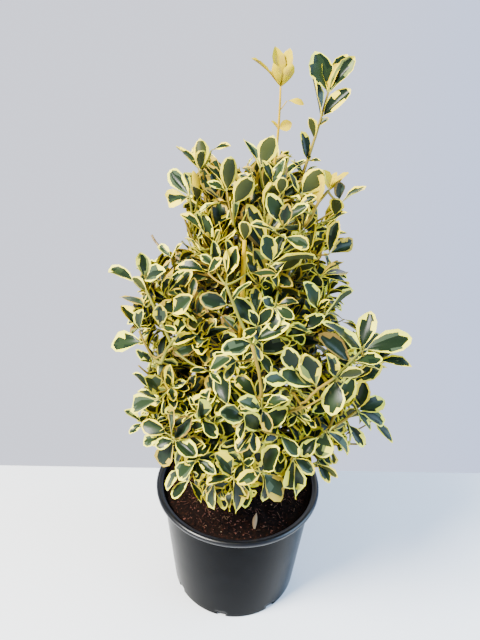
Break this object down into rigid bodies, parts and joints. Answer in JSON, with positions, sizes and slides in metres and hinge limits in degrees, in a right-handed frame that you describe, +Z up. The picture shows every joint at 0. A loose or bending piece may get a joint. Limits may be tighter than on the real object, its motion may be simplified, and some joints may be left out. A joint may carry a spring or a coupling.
{
  "type": "potted variegated evergreen shrub",
  "caption": "Bushy variegated evergreen shrub with small glossy cream-edged leaves, an all-yellow top shoot and a green-edged one, growing in a round black nursery pot of soil",
  "frame": {"origin": "the middle of the pot's flat underside, on the floor", "axes": "+Z up along the pot axis, -Y to the front of the shrub as pictured, +X to its right"},
  "size_m": [0.3695, 0.3308, 0.7941],
  "materials": {
    "pot": "black moulded plastic with a soft sheen, lightly dusty",
    "soil": "moist dark brown peat potting mix, loose and fibrous",
    "bark": "brown to olive young bark, finely ridged, green on the youngest shoots",
    "foliage": "glossy leathery leaves, dark green in the middle with cream-yellow margins",
    "yellow_foliage": "soft clear yellow young leaves without green"
  },
  "bodies": {
    "root": {"pot": "pot", "potting_soil": "soil", "main_stem": "bark", "bough_skirt_1": "bark", "bough_skirt_2": "bark", "bough_skirt_3": "bark", "bough_skirt_4": "bark", "bough_skirt_5": "bark", "bough_lower_1": "bark", "bough_lower_2": "bark", "bough_lower_3": "bark", "bough_lower_4": "bark", "bough_lower_5": "bark", "bough_middle_1": "bark", "bough_middle_2": "bark", "bough_middle_3": "bark", "bough_middle_4": "bark", "bough_middle_5": "bark", "bough_upper_1": "bark", "bough_upper_2": "bark", "bough_upper_3": "bark", "bough_upper_4": "bark", "bough_upper_5": "bark", "bough_upper_6": "bark", "bough_crown_1": "bark", "bough_crown_2": "bark", "bough_crown_3": "bark", "bough_crown_4": "bark", "bough_top_left": "bark", "bough_top_back": "bark", "bough_right_leader": "bark", "foliage_skirt_1": "foliage", "foliage_skirt_2": "foliage", "foliage_skirt_3": "foliage", "foliage_skirt_4": "foliage", "foliage_skirt_5": "foliage", "foliage_lower_1": "foliage", "foliage_lower_2": "foliage", "foliage_lower_3": "foliage", "foliage_lower_4": "foliage", "foliage_lower_5": "foliage", "foliage_middle_1": "foliage", "foliage_middle_2": "foliage", "foliage_middle_3": "foliage", "foliage_middle_4": "foliage", "foliage_middle_5": "foliage", "foliage_upper_1": "foliage", "foliage_upper_2": "foliage", "foliage_upper_3": "foliage", "foliage_upper_4": "foliage", "foliage_upper_5": "foliage", "foliage_upper_6": "foliage", "foliage_crown_1": "foliage", "foliage_crown_2": "foliage", "foliage_crown_3": "foliage", "foliage_crown_4": "foliage", "foliage_top_left": "foliage", "foliage_top_back": "foliage", "foliage_right_leader": "foliage", "foliage_yellow_leader": "yellow_foliage"}
  },
  "joints": []
}
